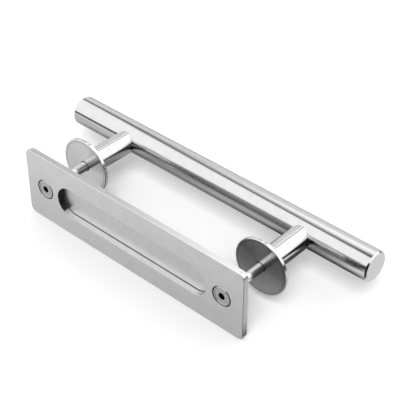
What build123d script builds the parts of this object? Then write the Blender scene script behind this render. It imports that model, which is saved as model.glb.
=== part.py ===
from build123d import *
import math
import os

# Flush and pull handle for a sliding door: a plate with a finger recess on one face of
# the door, a round pull bar on two posts on the other, and two bolts through the door.
# Millimetres. The origin is the centre of the plate's back, where it lies on the door.
# +X runs along the bar, +Y through the door towards the bar, +Z up the plate's height.

# Places along the handle
FIXING_SPACING = 183.0
PLATE_END_MARGIN = 20.0
RECESS_TO_BOLT = 14.5
BAR_OVERHANG = 61.0

# Flush plate
PLATE_HEIGHT = 60.0
PLATE_THICKNESS = 5.0
PLATE_CORNER_RADIUS = 5.0
PLATE_EDGE_CHAMFER = 0.25
RECESS_HEIGHT = 26.5
RECESS_LIP_CHAMFER = 0.3

# Back of the recess, a flat sheet whose raised rim is let into the plate's back, so that
# an open joint runs between the slot's wall and the sheet
BACK_FLOOR_THICKNESS = 1.5
BACK_RIM_WIDTH = 3.0
BACK_EDGE_CHAMFER = 0.5
BACK_REBATE = 0.3
BACK_CLEARANCE = 0.1
JOINT_WIDTH = 0.5
JOINT_DEPTH = 0.8

# Countersunk socket bolts, M8
BOLT_DIAMETER = 8.0
BOLT_LENGTH = 60.0
BOLT_THREAD_LENGTH = 16.0
BOLT_THREAD_DEPTH = 0.45
BOLT_TIP_CHAMFER = 1.0
HEAD_DIAMETER = 15.8
HEAD_LIP = 0.7
HEAD_BEVEL = 0.45
HEAD_DISH_DIAMETER = 12.6
HEAD_DISH_DEPTH = 0.2
SOCKET_ACROSS_FLATS = 5.0
SOCKET_DEPTH = 4.0
SOCKET_CHAMFER = 0.2
COUNTERSINK_GAP = 0.8
COUNTERSINK_ANGLE = 90.0
HEAD_SEAT_CLEARANCE = 0.05
BOLT_HOLE_CLEARANCE = 0.25

# Door and the rosettes on its far face
DOOR_THICKNESS = 37.0
ROSETTE_DIAMETER = 47.0
ROSETTE_THICKNESS = 3.0
ROSETTE_EDGE_CHAMFER = 0.4
ROSETTE_BORE_CLEARANCE = 0.6

# Posts, coped to the bar, each with a spigot through the bar's wall
POST_DIAMETER = 19.0
POST_EDGE_CHAMFER = 0.4
POST_HOLE_EXTRA_DEPTH = 5.0
POST_HOLE_CHAMFER = 0.8
THREAD_FIT = 0.05
SADDLE_GAP = 0.05
SPIGOT_DIAMETER = 12.0
SPIGOT_FIT = 0.1
SPIGOT_STAND_IN = 0.8
SPIGOT_CHAMFER = 0.5

# Pull bar, a round tube with a plug cap in each end
BAR_DIAMETER = 25.0
BAR_WALL = 1.5
DOOR_TO_BAR_AXIS = 56.0
CAP_THICKNESS = 2.0
CAP_CHAMFER = 1.2
CAP_PLUG_LENGTH = 5.0
CAP_PLUG_FIT = 0.1
CAP_PLUG_CHAMFER = 0.6

# Sizes that follow
PLATE_LENGTH = FIXING_SPACING + 2 * PLATE_END_MARGIN
RECESS_LENGTH = FIXING_SPACING - 2 * RECESS_TO_BOLT
BAR_LENGTH = FIXING_SPACING + 2 * BAR_OVERHANG
PLATE_FRONT_Y = -PLATE_THICKNESS
BOLT_RADIUS = BOLT_DIAMETER / 2
HEAD_RADIUS = HEAD_DIAMETER / 2
THREAD_RADIUS = BOLT_RADIUS - BOLT_THREAD_DEPTH
COUNTERSINK_RADIUS = HEAD_RADIUS + COUNTERSINK_GAP
BOLT_HOLE_RADIUS = BOLT_RADIUS + BOLT_HOLE_CLEARANCE
CONE_SLOPE = math.tan(math.radians(COUNTERSINK_ANGLE / 2))
HEAD_RIM_Y = PLATE_FRONT_Y + (COUNTERSINK_GAP - HEAD_SEAT_CLEARANCE) / CONE_SLOPE
HEAD_TOP_Y = HEAD_RIM_Y - HEAD_LIP
BOLT_TIP_Y = HEAD_TOP_Y + BOLT_LENGTH
THREAD_START_Y = BOLT_TIP_Y - BOLT_THREAD_LENGTH
ROSETTE_BACK_Y = DOOR_THICKNESS + ROSETTE_THICKNESS
BAR_AXIS_Y = DOOR_THICKNESS + DOOR_TO_BAR_AXIS
BAR_RADIUS = BAR_DIAMETER / 2
BORE_RADIUS = BAR_RADIUS - BAR_WALL
SPIGOT_RADIUS = SPIGOT_DIAMETER / 2
TUBE_END_X = BAR_LENGTH / 2 - CAP_THICKNESS
SIDES = {"left": -FIXING_SPACING / 2, "right": FIXING_SPACING / 2}


def across(y):
    """The plane across the door at distance y, facing the bar."""
    return Plane(origin=(0, y, 0), x_dir=(1, 0, 0), z_dir=(0, 1, 0))


def along(x):
    """The plane across the bar at distance x, facing the right end."""
    return Plane(origin=(x, 0, 0), x_dir=(0, 1, 0), z_dir=(1, 0, 0))


def beside(x):
    """The level plane whose own Y axis is the bolt axis at distance x."""
    return Plane(origin=(x, 0, 0), x_dir=(1, 0, 0), z_dir=(0, 0, 1))


def bolt_axis(x):
    """The axis of the bolt, rosette and post at distance x."""
    return Axis((x, 0, 0), (0, 1, 0))


def save(builder, name):
    """Label a finished piece and write its file."""
    builder.part.label = name
    export_step(builder.part, f"parts/{name}.step")


def make_flush_plate():
    """The plate with its slot, the rebate round it and two countersunk holes."""
    with BuildPart() as plate:
        with BuildSketch(across(PLATE_FRONT_Y)):
            RectangleRounded(PLATE_LENGTH, PLATE_HEIGHT, PLATE_CORNER_RADIUS)
        extrude(amount=PLATE_THICKNESS)
        faces = plate.faces().sort_by(Axis.Y)
        chamfer(faces[0].edges() + faces[-1].edges(), PLATE_EDGE_CHAMFER)
        with BuildSketch(across(PLATE_FRONT_Y)):
            SlotOverall(RECESS_LENGTH, RECESS_HEIGHT)
        extrude(amount=PLATE_THICKNESS, mode=Mode.SUBTRACT)
        lip = plate.faces().sort_by(Axis.Y)[0].inner_wires().edges()
        chamfer(lip, RECESS_LIP_CHAMFER)
        with BuildSketch(across(-BACK_REBATE)):
            rebate = BACK_RIM_WIDTH + BACK_CLEARANCE
            SlotOverall(RECESS_LENGTH + 2 * rebate, RECESS_HEIGHT + 2 * rebate)
        extrude(amount=BACK_REBATE, mode=Mode.SUBTRACT)
        with Locations(Plane.XZ.offset(PLATE_THICKNESS)):
            with GridLocations(FIXING_SPACING, 0, 2, 1):
                CounterSinkHole(
                    radius=BOLT_HOLE_RADIUS,
                    counter_sink_radius=COUNTERSINK_RADIUS,
                    depth=PLATE_THICKNESS,
                    counter_sink_angle=COUNTERSINK_ANGLE,
                )
    return plate


def make_recess_back():
    """The sheet behind the slot: a flat floor inside a rim that seats in the plate."""
    with BuildPart() as back:
        with BuildSketch(across(-BACK_REBATE)):
            SlotOverall(RECESS_LENGTH + 2 * BACK_RIM_WIDTH, RECESS_HEIGHT + 2 * BACK_RIM_WIDTH)
        extrude(amount=JOINT_WIDTH + BACK_FLOOR_THICKNESS)
        chamfer(back.faces().sort_by(Axis.Y)[-1].edges(), BACK_EDGE_CHAMFER)
        with BuildSketch(across(-BACK_REBATE)):
            SlotOverall(RECESS_LENGTH + 2 * JOINT_DEPTH, RECESS_HEIGHT + 2 * JOINT_DEPTH)
        extrude(amount=JOINT_WIDTH, mode=Mode.SUBTRACT)
    return back


def make_bolt(x):
    """A countersunk bolt: dished head, hexagon socket, smooth shank and thread.

    The thread is drawn as a plain cylinder on its mean diameter.
    """
    cone_end_y = HEAD_RIM_Y + (HEAD_RADIUS - BOLT_RADIUS) / CONE_SLOPE
    dish_y = HEAD_TOP_Y + HEAD_DISH_DEPTH
    dish_radius = HEAD_DISH_DIAMETER / 2
    with BuildPart() as bolt:
        with BuildSketch(beside(x)):
            with BuildLine():
                Polyline(
                    (0, dish_y),
                    (dish_radius - HEAD_DISH_DEPTH, dish_y),
                    (dish_radius, HEAD_TOP_Y),
                    (HEAD_RADIUS - HEAD_BEVEL, HEAD_TOP_Y),
                    (HEAD_RADIUS, HEAD_TOP_Y + HEAD_BEVEL),
                    (HEAD_RADIUS, HEAD_RIM_Y),
                    (BOLT_RADIUS, cone_end_y),
                    (BOLT_RADIUS, THREAD_START_Y),
                    (THREAD_RADIUS, THREAD_START_Y + BOLT_THREAD_DEPTH),
                    (THREAD_RADIUS, BOLT_TIP_Y - BOLT_TIP_CHAMFER),
                    (THREAD_RADIUS - BOLT_TIP_CHAMFER, BOLT_TIP_Y),
                    (0, BOLT_TIP_Y),
                    close=True,
                )
            make_face()
        revolve(axis=bolt_axis(x))
        with BuildSketch(across(dish_y)):
            with Locations((x, 0)):
                RegularPolygon(SOCKET_ACROSS_FLATS / 2, 6, major_radius=False)
        extrude(amount=SOCKET_DEPTH, mode=Mode.SUBTRACT)
        dish = bolt.faces().filter_by(Plane.XZ).filter_by(lambda f: f.inner_wires())
        chamfer(dish.sort_by(Axis.Y)[-1].inner_wires().edges(), SOCKET_CHAMFER)
    return bolt


def make_rosette(x):
    """The disc that spreads the post's load on the door, loose on its bolt."""
    with BuildPart() as rosette:
        with BuildSketch(across(DOOR_THICKNESS)):
            with Locations((x, 0)):
                Circle(ROSETTE_DIAMETER / 2)
        extrude(amount=ROSETTE_THICKNESS)
        chamfer(rosette.edges().filter_by(GeomType.CIRCLE), ROSETTE_EDGE_CHAMFER)
        with BuildSketch(across(DOOR_THICKNESS)):
            with Locations((x, 0)):
                Circle(BOLT_RADIUS + ROSETTE_BORE_CLEARANCE)
        extrude(amount=ROSETTE_THICKNESS, mode=Mode.SUBTRACT)
    return rosette


def make_post(x):
    """A solid post, coped to the bar, with its spigot and the bolt's tapped hole."""
    spigot_top_y = BAR_AXIS_Y - math.sqrt(BORE_RADIUS**2 - SPIGOT_RADIUS**2) + SPIGOT_STAND_IN
    hole_depth = BOLT_TIP_Y - ROSETTE_BACK_Y + POST_HOLE_EXTRA_DEPTH
    hole_radius = THREAD_RADIUS + THREAD_FIT
    with BuildPart() as post:
        with BuildSketch(across(ROSETTE_BACK_Y)):
            with Locations((x, 0)):
                Circle(POST_DIAMETER / 2)
        extrude(amount=BAR_AXIS_Y - ROSETTE_BACK_Y)
        chamfer(post.edges().group_by(Axis.Y)[0], POST_EDGE_CHAMFER)
        with BuildSketch(along(x)):
            with Locations((BAR_AXIS_Y, 0)):
                Circle(BAR_RADIUS + SADDLE_GAP)
        extrude(amount=POST_DIAMETER, both=True, mode=Mode.SUBTRACT)
        with BuildSketch(across(BAR_AXIS_Y - BAR_DIAMETER)):
            with Locations((x, 0)):
                Circle(SPIGOT_RADIUS)
        extrude(amount=spigot_top_y - BAR_AXIS_Y + BAR_DIAMETER)
        chamfer(post.edges().group_by(Axis.Y)[-1], SPIGOT_CHAMFER)
        with Locations(Plane(origin=(x, ROSETTE_BACK_Y, 0), z_dir=(0, -1, 0))):
            CounterSinkHole(
                radius=hole_radius,
                counter_sink_radius=hole_radius + POST_HOLE_CHAMFER,
                depth=hole_depth,
                counter_sink_angle=COUNTERSINK_ANGLE,
            )
    return post


def make_pull_bar():
    """The tube, with a hole in its door side for each post's spigot."""
    with BuildPart() as bar:
        with BuildSketch(along(-TUBE_END_X)):
            with Locations((BAR_AXIS_Y, 0)):
                Circle(BAR_RADIUS)
                Circle(BORE_RADIUS, mode=Mode.SUBTRACT)
        extrude(amount=2 * TUBE_END_X)
        with BuildSketch(across(BAR_AXIS_Y - BAR_DIAMETER)):
            with GridLocations(FIXING_SPACING, 0, 2, 1):
                Circle(SPIGOT_RADIUS + SPIGOT_FIT)
        extrude(amount=BAR_DIAMETER, mode=Mode.SUBTRACT)
    return bar


def make_bar_cap(direction):
    """The cap in one end of the tube: a chamfered disc with a plug inside the bore."""
    outward = Plane(origin=(direction * TUBE_END_X, BAR_AXIS_Y, 0), z_dir=(direction, 0, 0))
    outward_axis = Axis(outward.origin, outward.z_dir)
    with BuildPart() as cap:
        with BuildSketch(outward):
            Circle(BAR_RADIUS)
        extrude(amount=CAP_THICKNESS)
        chamfer(cap.edges().sort_by(outward_axis)[-1], CAP_CHAMFER)
        with BuildSketch(outward):
            Circle(BORE_RADIUS - CAP_PLUG_FIT)
        extrude(amount=-CAP_PLUG_LENGTH)
        chamfer(cap.edges().sort_by(outward_axis)[0], CAP_PLUG_CHAMFER)
    return cap


os.makedirs("parts", exist_ok=True)
save(make_flush_plate(), "flush_plate")
save(make_recess_back(), "recess_back")
for side, x in SIDES.items():
    save(make_bolt(x), f"bolt_{side}")
    save(make_rosette(x), f"rosette_{side}")
    save(make_post(x), f"post_{side}")
save(make_pull_bar(), "pull_bar")
save(make_bar_cap(-1), "bar_cap_left")
save(make_bar_cap(1), "bar_cap_right")
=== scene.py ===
"""Finishes, studio and camera for the flush and pull handle, around its CAD pieces."""

import logging
import math
from dataclasses import dataclass
from enum import Enum

import bpy
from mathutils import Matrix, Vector


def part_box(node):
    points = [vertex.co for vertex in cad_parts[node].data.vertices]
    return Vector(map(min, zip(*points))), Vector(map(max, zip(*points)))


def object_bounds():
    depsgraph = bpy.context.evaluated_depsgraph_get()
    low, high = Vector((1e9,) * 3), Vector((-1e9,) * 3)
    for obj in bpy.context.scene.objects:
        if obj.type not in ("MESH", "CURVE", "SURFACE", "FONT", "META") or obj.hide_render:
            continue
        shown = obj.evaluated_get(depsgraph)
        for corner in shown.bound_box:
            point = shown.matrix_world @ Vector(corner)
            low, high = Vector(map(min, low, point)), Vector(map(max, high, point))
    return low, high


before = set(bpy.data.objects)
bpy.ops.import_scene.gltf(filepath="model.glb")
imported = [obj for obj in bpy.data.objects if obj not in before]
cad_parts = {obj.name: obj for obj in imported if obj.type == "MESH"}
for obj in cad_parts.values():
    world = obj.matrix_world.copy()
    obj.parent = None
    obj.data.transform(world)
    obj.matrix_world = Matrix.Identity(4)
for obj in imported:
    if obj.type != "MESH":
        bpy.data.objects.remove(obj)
CAD_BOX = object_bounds()

LOG = logging.getLogger("handle")

Socket = bpy.types.NodeSocket
Value = float | Socket
Given = Value | tuple[float, ...]
Span = tuple[float, float]


class Grain(Enum):
    """How the scratches of a finish run."""

    STRAIGHT = "along one axis"
    AROUND = "round one axis"


class Direction(Enum):
    """An axis that a piece's scratches follow or run round, as a unit vector."""

    X = (1.0, 0.0, 0.0)
    Y = (0.0, 1.0, 0.0)


class Graph:
    """Fills an empty node tree with nodes and the links between them."""

    def __init__(self, tree: bpy.types.NodeTree) -> None:
        """Empties the tree.

        Args:
            tree: The node tree of a material or of the world.
        """
        tree.nodes.clear()
        self.tree = tree

    def node(self, kind: str, **settings: object) -> bpy.types.Node:
        """Adds a node.

        Args:
            kind: The node's type, without its leading "ShaderNode".
            settings: Properties of the node to set.

        Returns:
            The new node.
        """
        made = self.tree.nodes.new("ShaderNode" + kind)
        for name, value in settings.items():
            setattr(made, name, value)
        return made

    def feed(self, socket: Socket, given: Given) -> None:
        """Links a socket to another, or sets its own value.

        Args:
            socket: The input socket.
            given: An output socket, a number or a tuple of numbers.
        """
        if isinstance(given, bpy.types.NodeSocket):
            self.tree.links.new(given, socket)
        else:
            socket.default_value = given

    def fill(self, node: bpy.types.Node, inputs: dict[str | int, Given]) -> None:
        """Feeds several inputs of a node.

        Args:
            node: The node.
            inputs: What each input gets, by its name or its number.
        """
        for name, given in inputs.items():
            self.feed(node.inputs[name], given)

    def math(self, operation: str, *values: Value) -> Socket:
        """Adds a Math node.

        Args:
            operation: The node's operation, such as "ADD".
            values: Its inputs, in order.

        Returns:
            The node's output.
        """
        made = self.node("Math", operation=operation)
        self.fill(made, dict(enumerate(values)))
        return made.outputs[0]

    def apart(self, first: Value, second: Value) -> Socket:
        """Works out how far two numbers are apart.

        Args:
            first: The first number.
            second: The second number.

        Returns:
            Their difference, without its sign.
        """
        return self.math("ABSOLUTE", self.math("SUBTRACT", first, second))

    def vector(self, operation: str, *values: Given) -> bpy.types.Node:
        """Adds a Vector Math node.

        Args:
            operation: The node's operation, such as "SUBTRACT".
            values: Its inputs, in order.

        Returns:
            The node, whose outputs are "Vector" and "Value".
        """
        made = self.node("VectorMath", operation=operation)
        self.fill(made, dict(enumerate(values)))
        return made

    def parts(self, vector: Socket) -> bpy.types.bpy_prop_collection:
        """Takes a vector apart.

        Args:
            vector: The vector.

        Returns:
            Its parts, "X", "Y" and "Z".
        """
        made = self.node("SeparateXYZ")
        self.fill(made, {"Vector": vector})
        return made.outputs

    def step(
        self, value: Value, low: Value, high: Value, start: Value = 0.0, end: Value = 1.0
    ) -> Socket:
        """Adds a smooth step from one value to another.

        Args:
            value: The number that the step follows.
            low: Where the step starts.
            high: Where the step ends.
            start: The result below the step.
            end: The result above the step.

        Returns:
            The step's result.
        """
        made = self.node("MapRange", interpolation_type="SMOOTHSTEP")
        limits = {"From Min": low, "From Max": high, "To Min": start, "To Max": end}
        self.fill(made, {"Value": value, **limits})
        return made.outputs["Result"]

    def blend(self, factor: Value, first: Value, second: Value) -> Socket:
        """Adds a blend of two numbers.

        Args:
            factor: The share of the second number.
            first: The first number.
            second: The second number.

        Returns:
            The blend's result.
        """
        made = self.node("Mix", data_type="FLOAT")
        self.fill(made, {"Factor": factor, "A": first, "B": second})
        return made.outputs["Result"]

    def end(self, kind: str, surface: Socket) -> None:
        """Adds the node that ends the tree.

        Args:
            kind: The node's type, without its leading "ShaderNode".
            surface: The shader that it shows.
        """
        self.fill(self.node(kind), {"Surface": surface})


@dataclass(frozen=True)
class Ramp:
    """A smooth step between two fixed numbers.

    Attributes:
        low: Where it starts.
        high: Where it ends.
        start: The result below it.
        end: The result above it.
    """

    low: float
    high: float
    start: float = 0.0
    end: float = 1.0

    def apply(self, graph: Graph, value: Value) -> Socket:
        """Adds the step to a graph.

        Args:
            graph: The graph.
            value: The number that the step follows.

        Returns:
            The step's result.
        """
        return graph.step(value, self.low, self.high, self.start, self.end)


@dataclass(frozen=True)
class Noise:
    """A noise that changes a number of the finish from place to place.

    Attributes:
        scale: Cells of the noise per unit of its coordinates.
        detail: Octaves of the noise.
        limits: The values of the noise that give the lowest and the highest number.
    """

    scale: float
    detail: float
    limits: Span

    def pattern(self, graph: Graph, place: Socket) -> Socket:
        """Adds the noise.

        Args:
            graph: The material's graph.
            place: Its coordinates.

        Returns:
            The noise, from 0 to 1.
        """
        made = graph.node("TexNoise")
        graph.fill(made, {"Vector": place, "Scale": self.scale, "Detail": self.detail})
        return made.outputs["Fac"]

    def around(self, graph: Graph, pattern: Socket, mean: float, change: float) -> Socket:
        """Spreads a number by the noise.

        Args:
            graph: The material's graph.
            pattern: The noise.
            mean: The number's mean.
            change: How far it departs from that, either way.

        Returns:
            The number at each point.
        """
        return graph.step(pattern, *self.limits, mean - change, mean + change)


# The scratches, on coordinates of one unit per scratch
SCRATCH = Noise(scale=1.0, detail=3.0, limits=(0.2, 0.8))
# The mottle, on coordinates in metres
CLOUD = Noise(scale=140.0, detail=2.0, limits=(0.25, 0.75))
# Length of a straight scratch over its width
SCRATCH_LENGTH = 60.0
# Share of a second axis in the direction across the scratches
LEAN = 0.35
# Width of the edge of the painted shade in a dark core, in metres
CORE_EDGE = 0.0002
# Grey of the painted shade in a dark core
CORE_TONE = 0.05
# Distances from the middle of the fine dark ring over which it fades, in metres
LINE_EDGE = (0.0002, 0.0005)
# Grey of the fine dark ring
LINE_TONE = 0.42


@dataclass(frozen=True)
class Zone:
    """A box, in metres, within which the steel gets a painted tone, lighter for painted light and
    darker for painted shade.

    Attributes:
        x: Its extent along X.
        y: Its extent along Y.
        z: Its extent along Z.
        tone: Painted grey of the metal within it.
    """

    x: Span
    y: Span
    z: Span
    tone: float

    def apply(self, graph: Graph, place: Socket, tone: Socket) -> Socket:
        """Sets the zone's painted tone into the piece's own.

        Args:
            graph: The material's graph.
            place: The point on the piece.
            tone: The tone outside the zone.

        Returns:
            The tone of both.
        """
        parts = graph.parts(place)
        inside = 1.0
        for name, (low, high) in zip("XYZ", (self.x, self.y, self.z)):
            above = graph.math("GREATER_THAN", parts[name], low)
            below = graph.math("LESS_THAN", parts[name], high)
            inside = graph.math("MULTIPLY", inside, graph.math("MULTIPLY", above, below))
        return graph.blend(inside, tone, self.tone)


@dataclass(frozen=True)
class SteelFinish:
    """One finish of the stainless steel.

    Attributes:
        name: The material's name.
        tone: Grey of the metal, from 0 to 1.
        roughness: Mean roughness.
        anisotropy: How far the shine is drawn out across the scratches, from 0 to 1.
        grain: How the scratches run.
        along: The axis that straight scratches follow, or that the others run round.
        pitch: Size of one scratch across its length, in metres.
        depth: Height of the scratches, in metres.
        unevenness: Change of roughness between scratches.
        mottle: Change of tone over a few millimetres.
        dark_core: Distance from the axis, in metres, within which the steel is painted dark, as
            painted shade in a socket.
        dark_ring: Distance from the axis, in metres, of a fine dark line, or 0 for none.
        zones: The boxes of the piece whose tone holds painted light and painted shade.
    """

    name: str
    tone: float
    roughness: float
    anisotropy: float
    grain: Grain
    along: Direction
    pitch: float = 0.00022
    depth: float = 0.0000012
    unevenness: float = 0.04
    mottle: float = 0.02
    dark_core: float = 0.0
    dark_ring: float = 0.0
    zones: tuple[Zone, ...] = ()

    def scratches(
        self, graph: Graph, place: Socket, centre: Vector
    ) -> tuple[Socket, Socket, Socket]:
        """Lays out the scratches.

        Args:
            graph: The material's graph.
            place: The point on the piece.
            centre: A point on the piece's axis.

        Returns:
            The coordinates of the scratch pattern, the direction across the scratches and
            the distance from the axis.
        """
        axis = self.along.value
        offset = graph.vector("SUBTRACT", place, tuple(centre)).outputs["Vector"]
        height = graph.vector("DOT_PRODUCT", offset, axis).outputs["Value"]
        on_axis = graph.vector("SCALE", axis)
        graph.fill(on_axis, {"Scale": height})
        radial = graph.vector("SUBTRACT", offset, on_axis.outputs["Vector"]).outputs["Vector"]
        radius = graph.vector("LENGTH", radial).outputs["Value"]
        fine = 1.0 / self.pitch
        if self.grain is Grain.AROUND:
            lines = {"X": graph.math("MULTIPLY", radius, fine)}
            lines["Y"] = graph.math("MULTIPLY", height, fine)
            outward = graph.vector("NORMALIZE", radial).outputs["Vector"]
            across = graph.vector("MULTIPLY_ADD", axis, (LEAN, LEAN, LEAN), outward)
        else:
            parts = graph.parts(radial)
            sides = [name for name, part in zip("XYZ", axis) if part == 0.0]
            lines = {
                socket: graph.math("MULTIPLY", parts[side], fine)
                for socket, side in zip("XY", sides)
            }
            lines["Z"] = graph.math("MULTIPLY", height, fine / SCRATCH_LENGTH)
            weights = [0.0 if part else weight for part, weight in zip(axis, (1.0, LEAN, 1.0))]
            across = graph.vector("NORMALIZE", tuple(weights))
        pattern = graph.node("CombineXYZ")
        graph.fill(pattern, lines)
        return pattern.outputs["Vector"], across.outputs["Vector"], radius

    def grey(self, graph: Graph, place: Socket, radius: Socket) -> Socket:
        """Works out the metal's grey, with the painted light and shade of its zones.

        Args:
            graph: The material's graph.
            place: The point on the piece.
            radius: Its distance from the axis.

        Returns:
            The grey at each point.
        """
        tone = CLOUD.around(graph, CLOUD.pattern(graph, place), self.tone, self.mottle)
        # Painted light and painted shade of the zones
        for zone in self.zones:
            tone = zone.apply(graph, place, tone)
        # Painted shade in the socket round the axis
        if self.dark_core:
            edge = graph.step(radius, self.dark_core - CORE_EDGE, self.dark_core)
            tone = graph.blend(edge, CORE_TONE, tone)
        if self.dark_ring:
            edge = graph.step(graph.apart(radius, self.dark_ring), *LINE_EDGE)
            tone = graph.blend(edge, LINE_TONE, tone)
        return tone

    def material(self, centre: Vector) -> bpy.types.Material:
        """Makes the material.

        Args:
            centre: A point on the piece's axis, round which its scratches run.

        Returns:
            The material, with its patterns on Object coordinates.
        """
        made = bpy.data.materials.new(self.name)
        made.use_nodes = True
        graph = Graph(made.node_tree)
        place = graph.node("TexCoord").outputs["Object"]
        lines, across, radius = self.scratches(graph, place, centre)
        scratch = SCRATCH.pattern(graph, lines)
        bump = graph.node("Bump")
        graph.fill(bump, {"Height": scratch, "Distance": self.depth})
        shader = graph.node("BsdfPrincipled")
        inputs = {
            "Base Color": self.grey(graph, place, radius),
            "Metallic": 1.0,
            "Roughness": SCRATCH.around(graph, scratch, self.roughness, self.unevenness),
            "Anisotropic": self.anisotropy,
            "Tangent": across,
            "Normal": bump.outputs["Normal"],
        }
        graph.fill(shader, inputs)
        graph.end("OutputMaterial", shader.outputs["BSDF"])
        return made


@dataclass(frozen=True)
class CameraPlace:
    """The camera, as the photograph was taken.

    Attributes:
        location: Its place, in metres.
        azimuth: Turn round the handle, in degrees, where 0 looks along +Y.
        elevation: Angle above the horizon, in degrees.
        lens: Focal length in millimetres on a sensor 36 mm wide.
        sight: How far it sees, in metres.
    """

    location: tuple[float, float, float] = (0.47552, -0.44825, 0.53662)
    azimuth: float = 42.354
    elevation: float = 37.624
    lens: float = 102.638
    sight: float = 20.0

    def build(self) -> None:
        """Makes the camera and gives it to the scene."""
        turn = (math.radians(90.0 - self.elevation), 0.0, math.radians(self.azimuth))
        bpy.ops.object.camera_add(location=self.location, rotation=turn)
        camera = bpy.context.object
        camera.data.lens = self.lens
        camera.data.clip_end = self.sight
        bpy.context.scene.camera = camera
        LOG.info("camera %.1f degrees round, %.1f up", self.azimuth, self.elevation)


@dataclass(frozen=True)
class DarkSide:
    """The dark side of the room, where the camera stands.

    A height is the Z of a direction, and a facing is its level part's share toward the
    camera: both run from 0 to 1.

    Attributes:
        toward: Level direction of the camera's side.
        height: How far up the dark side reaches.
        width: How dark it is, by the facing.
        low_height: Height of the dark strip above the horizon, by the facing.
        low_solid: Share of that height within which the strip is darkest.
        low_dark: How dark the strip is there.
        low_width: Where the strip starts, by the facing.
        horizon: Where the strip starts, by the height.
    """

    toward: tuple[float, float, float] = (0.674, -0.739, 0.0)
    height: Ramp = Ramp(0.74, 0.9, 1.0, 0.0)
    width: Ramp = Ramp(0.8, 0.93, 0.0, 0.97)
    low_height: Ramp = Ramp(0.165, 0.225, 0.12, 0.38)
    low_solid: float = 0.5
    low_dark: float = 0.96
    low_width: Ramp = Ramp(0.06, 0.1)
    horizon: Ramp = Ramp(0.0, 0.001)

    def share(self, graph: Graph, toward: Socket) -> Socket:
        """Works out how much of the room's light is left.

        Args:
            graph: The world's graph.
            toward: The direction that is looked in.

        Returns:
            A factor, 1 away from the camera's side and nearly 0 towards it.
        """
        level = graph.vector("MULTIPLY", toward, (1.0, 1.0, 0.0)).outputs["Vector"]
        level = graph.vector("NORMALIZE", level).outputs["Vector"]
        facing = graph.vector("DOT_PRODUCT", level, self.toward).outputs["Value"]
        height = graph.parts(toward)["Z"]
        side = self.width.apply(graph, facing)
        side = graph.math("MULTIPLY", side, self.height.apply(graph, height))
        top = self.low_height.apply(graph, facing)
        solid = graph.math("MULTIPLY", top, self.low_solid)
        low = graph.step(height, solid, top, self.low_dark, 0.0)
        low = graph.math("MULTIPLY", low, self.low_width.apply(graph, facing))
        low = graph.math("MULTIPLY", low, self.horizon.apply(graph, height))
        return graph.math("SUBTRACT", 1.0, graph.math("MAXIMUM", side, low))


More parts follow.
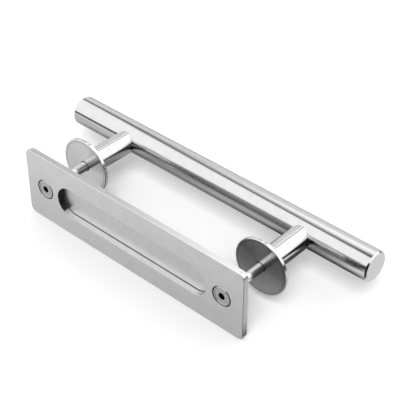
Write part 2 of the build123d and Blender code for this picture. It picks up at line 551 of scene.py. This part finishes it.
@dataclass(frozen=True)
class Room:
    """The room: a large soft light overhead, a bright wall at the back and a dark side.

    What is overhead is laid out on a level plane one unit above the handle, with places
    along it and distances behind the edge of the light. Strengths are shares of white.

    Attributes:
        dark_side: The side where the camera stands.
        overhead: Strength of the light overhead, by the distance behind its edge.
        edge: Slope and offset of that edge, along the handle.
        edge_end: How far back the edge gets at most.
        gap_start: Distance behind the edge at which the back wall takes over.
        gap: Share of the wall's light close to the edge.
        wall: Strength of the back wall, from left to right.
        wall_end: Dark end of the wall's left part, as a share.
        wall_again: Where the wall is bright again.
        wall_rise: Share of the wall's light, by the distance behind the edge.
        horizon: Share of the light near the horizon, from left to right.
        horizon_height: Heights between which that gives way to the full light.
        flattest: Least height that a direction is taken to have.
        toward_wall: Level direction from which most of the light on the table comes.
        ambient: Strength of the room's light on the table.
    """

    dark_side: DarkSide = DarkSide()
    overhead: Ramp = Ramp(-0.17, -0.04, 1.3, 0.12)
    edge: Span = (-1.37, -0.626)
    edge_end: float = 0.67
    gap_start: float = -0.03
    gap: Ramp = Ramp(0.0, 0.06, 0.1, 1.0)
    wall: Ramp = Ramp(-0.98, -0.52, 0.9, 1.5)
    wall_end: Ramp = Ramp(-0.46, -0.42, 1.0, 0.08)
    wall_again: Span = (-0.33, -0.29)
    wall_rise: Ramp = Ramp(0.06, 0.44, 0.3, 1.0)
    horizon: Ramp = Ramp(-0.3, 0.2, 1.0, 0.03)
    horizon_height: Span = (0.06, 0.2)
    flattest: float = 0.001
    toward_wall: tuple[float, float, float] = (-0.6, 0.8, 0.0)
    ambient: float = 0.51

    def mirrored(self, graph: Graph, toward: Socket) -> Socket:
        """Works out the room's light, as the steel mirrors it.

        Its lower half is what the table lets through to the steel's reflections.

        Args:
            graph: The world's graph.
            toward: The direction that is looked in.

        Returns:
            The strength in each direction.
        """
        parts = graph.parts(toward)
        height = parts["Z"]
        above = graph.math("MAXIMUM", height, self.flattest)
        along = graph.math("DIVIDE", parts["X"], above)
        back = graph.math("DIVIDE", parts["Y"], above)
        edge = graph.math("MULTIPLY_ADD", along, *self.edge)
        behind = graph.math("SUBTRACT", back, graph.math("MINIMUM", edge, self.edge_end))
        wall = self.wall.apply(graph, along)
        wall = graph.math("MULTIPLY", wall, self.wall_end.apply(graph, along))
        wall = graph.step(along, *self.wall_again, wall, self.wall.end)
        wall = graph.math("MULTIPLY", wall, self.wall_rise.apply(graph, behind))
        wall = graph.math("MULTIPLY", wall, self.gap.apply(graph, behind))
        past_edge = graph.math("GREATER_THAN", behind, self.gap_start)
        light = graph.blend(past_edge, self.overhead.apply(graph, behind), wall)
        horizon = self.horizon.apply(graph, parts["X"])
        horizon = graph.step(height, *self.horizon_height, horizon, 1.0)
        light = graph.math("MULTIPLY", light, horizon)
        light = graph.blend(graph.math("LESS_THAN", height, 0.0), light, 1.0)
        return graph.math("MULTIPLY", light, self.dark_side.share(graph, toward))

    def build(self) -> None:
        """Makes the world, which is white for the camera and even for the table."""
        world = bpy.data.worlds.new("studio_room")
        world.use_nodes = True
        # Without light samples of its own, every ray that meets the world keeps its flags
        world.cycles.sampling_method = "NONE"
        bpy.context.scene.world = world
        graph = Graph(world.node_tree)
        toward = graph.node("TexCoord").outputs["Generated"]
        rays = graph.node("LightPath").outputs
        facing = graph.vector("DOT_PRODUCT", toward, self.toward_wall).outputs["Value"]
        even = graph.math("MULTIPLY_ADD", facing, self.ambient, self.ambient)
        from_table = graph.math("MINIMUM", rays["Diffuse Depth"], 1.0)
        from_table = graph.math("MAXIMUM", from_table, rays["Is Diffuse Ray"])
        lit = graph.blend(from_table, self.mirrored(graph, toward), even)
        background = graph.node("Background")
        strength = graph.blend(rays["Is Camera Ray"], lit, 1.0)
        graph.fill(background, {"Strength": strength, "Color": (1.0, 1.0, 1.0, 1.0)})
        graph.end("OutputWorld", background.outputs["Background"])
        LOG.info("room with %.2f of white on the table", self.ambient)


@dataclass(frozen=True)
class KeyLight:
    """The soft light from the front, which draws the shadows on the table.

    Attributes:
        tilt: Angle from straight overhead, in degrees.
        turn: Turn round the handle, in degrees, as the camera's.
        spread: How wide the light looks from the table, in degrees.
        strength: What it adds to the table, as a share of white.
    """

    tilt: float = 37.6
    turn: float = 38.7
    spread: float = 45.0
    strength: float = 0.64

    def build(self) -> None:
        """Makes the light, which the steel doesn't mirror."""
        turn = (math.radians(self.tilt), 0.0, math.radians(self.turn))
        bpy.ops.object.light_add(type="SUN", rotation=turn)
        lamp = bpy.context.object
        lamp.data.energy = self.strength * math.pi
        lamp.data.angle = math.radians(self.spread)
        lamp.visible_glossy = False
        LOG.info("key light %.1f degrees from overhead", self.tilt)


@dataclass(frozen=True)
class Table:
    """The white table, and what of it the steel mirrors, with painted shadows and painted shade
    in that.

    Places and distances are in metres, along the plate or across it, from its middle and
    its back. Strengths are shares of white.

    Attributes:
        level: The table's height.
        size: Length of its sides.
        tone: Its tone in the light that it throws back.
        tone_seen: Its tone for the camera.
        open_mirrored: Strength of the open table at the plate's middle.
        front_slope: Change of that along the plate, in front of it.
        back_slope: The same behind it.
        front_share: Share of that in front of the plate, by the distance across, a painted shade
            close to the plate.
        plate: Where the front gives way to the back.
        foot: Strength of the painted shadow at the foot of the plate's back, from left to right.
        middle: Strength of the painted shadow halfway to the pull bar, from left to right.
        foot_depth: Where the foot gives way to the middle.
        plate_centre: Middle of the plate's painted shadow.
        plate_ends: Distances from that middle at which the open table takes over.
        strip_mirrored: Strength of the painted shadow under the pull bar, at its middle.
        strip_slope: Change of that along the bar.
        strip_least: The least that it gets.
        strip_near: The most that it gets on the near side of the strip.
        strip_start: Where the strip starts, across.
        strip_turn: Where its near side gives way to its far side.
        strip_end: Where it ends.
        posts: Places of the posts' painted shadows, along the plate.
        post_share: Share of the light in them, by the distance from their middle.
        post_start: Where they start, across.
        bar_centre: Middle of the pull bar's painted shadow.
        bar_ends: Distances from that middle at which the open table takes over.
        right_fade: Share of the table's light far to the right, a painted shade.
        front_fade: Share of the table's light far in front, a painted shade.
    """

    level: float
    size: float = 12.0
    tone: float = 0.9
    tone_seen: float = 1.18
    open_mirrored: float = 0.78
    front_slope: float = -0.5
    back_slope: float = 0.6
    front_share: Ramp = Ramp(-0.07, 0.0, 1.1, 0.86)
    plate: Span = (-0.004, 0.0)
    foot: Ramp = Ramp(0.0, 0.05, 0.32, 0.1)
    middle: Ramp = Ramp(-0.06, -0.01, 0.3888, 0.54)
    foot_depth: Span = (0.0, 0.05)
    plate_centre: float = 0.014
    plate_ends: Span = (0.096, 0.112)
    strip_mirrored: float = 0.24
    strip_slope: float = -2.2
    strip_least: float = 0.08
    strip_near: float = 0.2
    strip_start: Span = (0.055, 0.085)
    strip_turn: Span = (0.077, 0.09)
    strip_end: Span = (0.105, 0.135)
    posts: Span = (-0.106, 0.078)
    post_share: Ramp = Ramp(0.008, 0.034, 0.55, 1.0)
    post_start: Span = (0.02, 0.04)
    bar_centre: float = -0.012
    bar_ends: Span = (0.14, 0.17)
    right_fade: Ramp = Ramp(0.18, 0.42, 1.0, 0.08)
    front_fade: Ramp = Ramp(-0.2, -0.08, 0.1, 1.0)

    def front(self, graph: Graph, along: Socket, across: Socket) -> Socket:
        """Works out the open table in front of the plate, with painted shade close to it.

        Args:
            graph: The table's graph.
            along: The place along the plate.
            across: The place across it.

        Returns:
            Its strength.
        """
        open_table = graph.math("MULTIPLY_ADD", along, self.front_slope, self.open_mirrored)
        return graph.math("MULTIPLY", open_table, self.front_share.apply(graph, across))

    def behind_plate(
        self, graph: Graph, along: Socket, across: Socket, front: Socket, back: Socket
    ) -> Socket:
        """Works out the plate's painted shadow on the table between the plate and the pull bar.

        Args:
            graph: The table's graph.
            along: The place along the plate.
            across: The place across it.
            front: Strength of the open table in front.
            back: Strength of the open table behind.

        Returns:
            Its strength, and that of what lies to the left, to the right and in front.
        """
        foot, middle = self.foot.apply(graph, along), self.middle.apply(graph, along)
        inside = graph.step(across, *self.foot_depth, foot, middle)
        inside = graph.step(graph.apart(along, self.plate_centre), *self.plate_ends, inside, back)
        return graph.step(across, *self.plate, front, inside)

    def strip(self, graph: Graph, along: Socket, across: Socket) -> Socket:
        """Works out the painted shadow under the pull bar.

        Args:
            graph: The table's graph.
            along: The place along the plate.
            across: The place across it.

        Returns:
            Its strength.
        """
        far = graph.math("MULTIPLY_ADD", along, self.strip_slope, self.strip_mirrored)
        far = graph.math("MAXIMUM", far, self.strip_least)
        near = graph.math("MINIMUM", far, self.strip_near)
        return graph.step(across, *self.strip_turn, near, far)

    def beside_posts(self, graph: Graph, along: Socket, across: Socket) -> Socket:
        """Works out the painted shadows of the posts.

        Args:
            graph: The table's graph.
            along: The place along the plate.
            across: The place across it.

        Returns:
            The share of the light that they leave.
        """
        nearest = graph.math("MINIMUM", *(graph.apart(along, post) for post in self.posts))
        share = self.post_share.apply(graph, nearest)
        return graph.step(across, *self.post_start, 1.0, share)

    def mirrored(self, graph: Graph) -> Socket:
        """Works out how bright the table looks in the steel, with the painted shadows of the
        plate, the pull bar and the posts.

        Args:
            graph: The table's graph.

        Returns:
            The share of white at each point of the table.
        """
        parts = graph.parts(graph.node("TexCoord").outputs["Object"])
        along, across = parts["X"], parts["Y"]
        front = self.front(graph, along, across)
        back = graph.math("MULTIPLY_ADD", along, self.back_slope, self.open_mirrored)
        inside = self.behind_plate(graph, along, across, front, back)
        strip = self.strip(graph, along, across)
        inside = graph.step(across, *self.strip_start, inside, strip)
        inside = graph.math("MULTIPLY", inside, self.beside_posts(graph, along, across))
        open_table = graph.step(across, *self.plate, front, back)
        from_middle = graph.apart(along, self.bar_centre)
        inside = graph.step(from_middle, *self.bar_ends, inside, open_table)
        strength = graph.step(across, *self.strip_end, inside, back)
        strength = graph.math("MULTIPLY", strength, self.right_fade.apply(graph, along))
        return graph.math("MULTIPLY", strength, self.front_fade.apply(graph, across))

    def build(self) -> None:
        """Makes the table, which a ray from the steel passes with the mirrored share."""
        bpy.ops.mesh.primitive_plane_add(size=self.size, location=(0.0, 0.0, self.level))
        floor = bpy.context.object
        floor.name = "table"
        paper = bpy.data.materials.new("white_table")
        paper.use_nodes = True
        graph = Graph(paper.node_tree)
        rays = graph.node("LightPath").outputs
        matte = graph.node("BsdfDiffuse")
        tone = graph.blend(rays["Is Camera Ray"], self.tone, self.tone_seen)
        graph.fill(matte, {"Color": tone})
        clear = graph.node("BsdfTransparent")
        graph.fill(clear, {"Color": self.mirrored(graph)})
        mixed = graph.node("MixShader")
        shaders = {1: matte.outputs["BSDF"], 2: clear.outputs["BSDF"]}
        graph.fill(mixed, {"Fac": rays["Is Glossy Ray"], **shaders})
        graph.end("OutputMaterial", mixed.outputs["Shader"])
        floor.data.materials.append(paper)
        LOG.info("table at %.0f mm", self.level * 1000.0)


@dataclass(frozen=True)
class Dressing:
    """Which finish each CAD piece gets.

    Attributes:
        finish: The finish.
        nodes: The names of the pieces.
    """

    finish: SteelFinish
    nodes: tuple[str, ...]

    def apply(self) -> None:
        """Puts the finish on each piece, centred on the piece's own box."""
        for name in self.nodes:
            low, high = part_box(name)
            material = self.finish.material((low + high) / 2.0)
            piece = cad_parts[name]
            for slot in piece.material_slots:
                slot.material = material
            LOG.info("%s: %s", name, self.finish.name)


# Z of the slot in the plate, in metres, as below
SLOT_HEIGHT: Span = (-0.0139, 0.0139)
# Y of the slot's wall, behind its lip
SLOT_DEPTH: Span = (-0.00465, -0.0001)
# Y of the plate's sides, between its two faces
PLATE_DEPTH: Span = (-0.0049, -0.0001)
# X of the whole plate, with room to spare
PLATE_LENGTH: Span = (-0.12, 0.12)
# Z of the whole plate, with room to spare
PLATE_HEIGHT: Span = (-0.04, 0.04)
# Z of the countersinks
COUNTERSINK_HEIGHT: Span = (-0.009, 0.009)

# The slot's walls painted lighter than the plate: painted light
SLOT_WALL_PAINTED_LIGHT = Zone(x=(-0.08, 0.066), y=SLOT_DEPTH, z=SLOT_HEIGHT, tone=0.86)
# The slot's left end painted dark: painted shade
SLOT_LEFT_END_PAINTED_SHADE = Zone(x=(-0.085, -0.0715), y=SLOT_DEPTH, z=SLOT_HEIGHT, tone=0.16)
# The slot's right end painted darker than the slot's other walls, though lighter than the plate:
# painted shade
SLOT_RIGHT_END_PAINTED_SHADE = Zone(x=(0.066, 0.085), y=SLOT_DEPTH, z=SLOT_HEIGHT, tone=0.7)
# The slot's front lip painted darker: painted shade along its edge
SLOT_LIP_PAINTED_SHADE = Zone(x=(-0.085, 0.085), y=(-0.00499, -0.00465), z=(-0.017, 0.017), tone=0.5)
# The countersinks round the bolt heads painted dark: painted shade in the gap
COUNTERSINK_LEFT_PAINTED_SHADE = Zone(x=(-0.1005, -0.0825), y=PLATE_DEPTH, z=COUNTERSINK_HEIGHT, tone=0.12)
COUNTERSINK_RIGHT_PAINTED_SHADE = Zone(x=(0.0825, 0.1005), y=PLATE_DEPTH, z=COUNTERSINK_HEIGHT, tone=0.12)
# The plate's top face painted lighter: painted light
PLATE_TOP_PAINTED_LIGHT = Zone(x=PLATE_LENGTH, y=PLATE_DEPTH, z=(0.0299, 0.04), tone=0.83)
# The plate's end face painted darker: painted shade
PLATE_END_PAINTED_SHADE = Zone(x=(0.1113, 0.12), y=PLATE_DEPTH, z=PLATE_HEIGHT, tone=0.5)
# The backs of the plate and of the recess sheet painted dark: painted shade
PLATE_BACK_PAINTED_SHADE = Zone(x=PLATE_LENGTH, y=(-0.0001, 0.001), z=PLATE_HEIGHT, tone=0.4)
SHEET_BACK_PAINTED_SHADE = Zone(x=PLATE_LENGTH, y=(0.0008, 0.004), z=PLATE_HEIGHT, tone=0.4)
# The groove where the recess sheet meets the plate painted near-black: painted shadow
JOINT_PAINTED_SHADOW = Zone(x=(-0.09, 0.09), y=(-0.0004, 0.0003), z=(-0.0145, -0.01328), tone=0.05)
# The bolt heads painted darker than the shanks: painted shade
BOLT_HEAD_PAINTED_SHADE = Zone(x=(-0.2, 0.2), y=(-0.01, -0.0001), z=(-0.01, 0.01), tone=0.48)

SATIN_PLATE = SteelFinish(
    name="satin_plate",
    tone=0.66,
    roughness=0.24,
    anisotropy=0.5,
    grain=Grain.STRAIGHT,
    along=Direction.X,
    zones=(
        SLOT_WALL_PAINTED_LIGHT,
        SLOT_LEFT_END_PAINTED_SHADE,
        SLOT_RIGHT_END_PAINTED_SHADE,
        SLOT_LIP_PAINTED_SHADE,
        COUNTERSINK_LEFT_PAINTED_SHADE,
        COUNTERSINK_RIGHT_PAINTED_SHADE,
        PLATE_TOP_PAINTED_LIGHT,
        PLATE_END_PAINTED_SHADE,
        PLATE_BACK_PAINTED_SHADE,
    ),
)
SATIN_RECESS = SteelFinish(
    name="satin_recess",
    tone=0.665,
    roughness=0.36,
    anisotropy=0.0,
    grain=Grain.STRAIGHT,
    along=Direction.X,
    zones=(SHEET_BACK_PAINTED_SHADE, JOINT_PAINTED_SHADOW),
)
TURNED_BOLT = SteelFinish(
    name="turned_bolt",
    tone=0.86,
    roughness=0.16,
    anisotropy=0.3,
    grain=Grain.AROUND,
    along=Direction.Y,
    # Painted shade in the socket of each bolt
    dark_core=0.0029,
    zones=(BOLT_HEAD_PAINTED_SHADE,),
)
TURNED_ROSETTE = SteelFinish(
    name="turned_rosette",
    tone=0.74,
    roughness=0.21,
    anisotropy=1.0,
    grain=Grain.AROUND,
    along=Direction.Y,
    depth=0.0000001,
    unevenness=0.004,
    dark_ring=0.0216,
)
POLISHED_POST = SteelFinish(
    name="polished_post",
    tone=0.66,
    roughness=0.11,
    anisotropy=0.4,
    grain=Grain.AROUND,
    along=Direction.Y,
)
POLISHED_BAR = SteelFinish(
    name="polished_bar",
    tone=0.66,
    roughness=0.115,
    anisotropy=0.5,
    grain=Grain.AROUND,
    along=Direction.X,
)
TURNED_CAP = SteelFinish(
    name="turned_cap",
    tone=0.66,
    roughness=0.15,
    anisotropy=0.5,
    grain=Grain.AROUND,
    along=Direction.X,
)

DRESSINGS = (
    Dressing(SATIN_PLATE, ("flush_plate",)),
    Dressing(SATIN_RECESS, ("recess_back",)),
    Dressing(TURNED_BOLT, ("bolt_left", "bolt_right")),
    Dressing(TURNED_ROSETTE, ("rosette_left", "rosette_right")),
    Dressing(POLISHED_POST, ("post_left", "post_right")),
    Dressing(POLISHED_BAR, ("pull_bar",)),
    Dressing(TURNED_CAP, ("bar_cap_left", "bar_cap_right")),
)


def main() -> None:
    """Dresses the handle and sets it in the studio."""
    logging.basicConfig(level=logging.INFO, format="%(name)s: %(message)s")
    for dressing in DRESSINGS:
        dressing.apply()
    Room().build()
    KeyLight().build()
    Table(level=CAD_BOX[0].z).build()
    CameraPlace().build()
    bpy.context.scene.view_settings.view_transform = "Standard"


if __name__ == "__main__":
    main()
